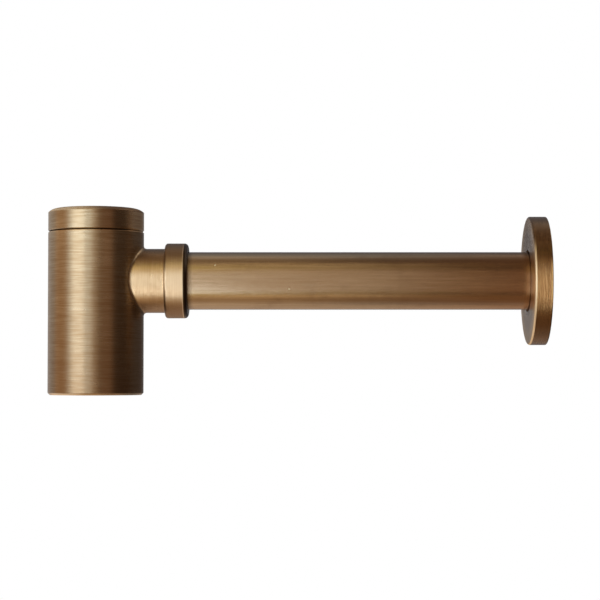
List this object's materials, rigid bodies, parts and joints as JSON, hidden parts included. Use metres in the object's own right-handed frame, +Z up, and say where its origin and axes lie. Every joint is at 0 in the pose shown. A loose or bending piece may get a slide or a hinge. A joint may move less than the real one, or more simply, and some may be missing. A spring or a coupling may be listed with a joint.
{
  "type": "basin bottle trap with wall pipe",
  "caption": "Round basin bottle trap in brushed antique brass, with a union nut inlet, side outlet nut, straight wall pipe, sliding wall flange and screwed clean-out plug.",
  "frame": {"origin": "on the bottle's axis where the inlet thread begins, just inside the union nut's top face", "axes": "+Z up out of the inlet along the bottle's axis, +X along the wall pipe towards the wall"},
  "size_m": [0.2763, 0.0712, 0.1033],
  "materials": {
    "bottle_brass": "antique brass, brushed round the bottle",
    "collar_brass": "antique brass, brushed round the collar",
    "pipe_brass": "antique brass, brushed along the pipe",
    "flange_brass": "antique brass, turned",
    "inner_brass": "plain turned brass",
    "black_rubber": "matte rubber",
    "white_nylon": "moulded nylon"
  },
  "bodies": {
    "trap": {"trap_body": "bottle_brass", "dip_tube": "inner_brass", "dip_tube_o_ring": "black_rubber", "inlet_washer": "black_rubber", "outlet_gasket": "black_rubber"},
    "inlet_nut": {"inlet_union_nut": "bottle_brass"},
    "outlet_slip": {"friction_washer": "white_nylon"},
    "outlet_nut": {"outlet_nut": "collar_brass"},
    "pipe": {"wall_pipe": "pipe_brass"},
    "flange": {"wall_flange": "flange_brass", "flange_grip_ring": "black_rubber"},
    "plug_slip": {"clean_out_o_ring": "black_rubber"},
    "plug": {"clean_out_plug": "bottle_brass"}
  },
  "joints": [
    {"name": "inlet_nut_spin", "type": "hinge", "parent": "trap", "child": "inlet_nut", "pos_m": [0, 0, 0], "axis": [0, 0, 1], "continuous": true},
    {"name": "outlet_nut_advance", "type": "slide", "parent": "trap", "child": "outlet_slip", "axis": [1, 0, 0], "range_m": [0, 0.006]},
    {"name": "outlet_nut_turn", "type": "hinge", "parent": "outlet_slip", "child": "outlet_nut", "pos_m": [0.045, 0, -0.03845], "axis": [1, 0, 0], "range_deg": [0, 1440]},
    {"name": "pipe_slide", "type": "slide", "parent": "trap", "child": "pipe", "axis": [1, 0, 0], "range_m": [-0.005, 0.01]},
    {"name": "flange_slide", "type": "slide", "parent": "pipe", "child": "flange", "axis": [-1, 0, 0], "range_m": [0, 0.17]},
    {"name": "plug_advance", "type": "slide", "parent": "trap", "child": "plug_slip", "axis": [0, 0, -1], "range_m": [0, 0.006]},
    {"name": "plug_turn", "type": "hinge", "parent": "plug_slip", "child": "plug", "pos_m": [0, 0, -0.098], "axis": [0, 0, -1], "range_deg": [0, 1440]}
  ],
  "couplings": [
    {"joint": "outlet_nut_advance", "follows": "outlet_nut_turn", "m_per_rad": 0.00023873},
    {"joint": "plug_advance", "follows": "plug_turn", "m_per_rad": 0.00023873}
  ]
}
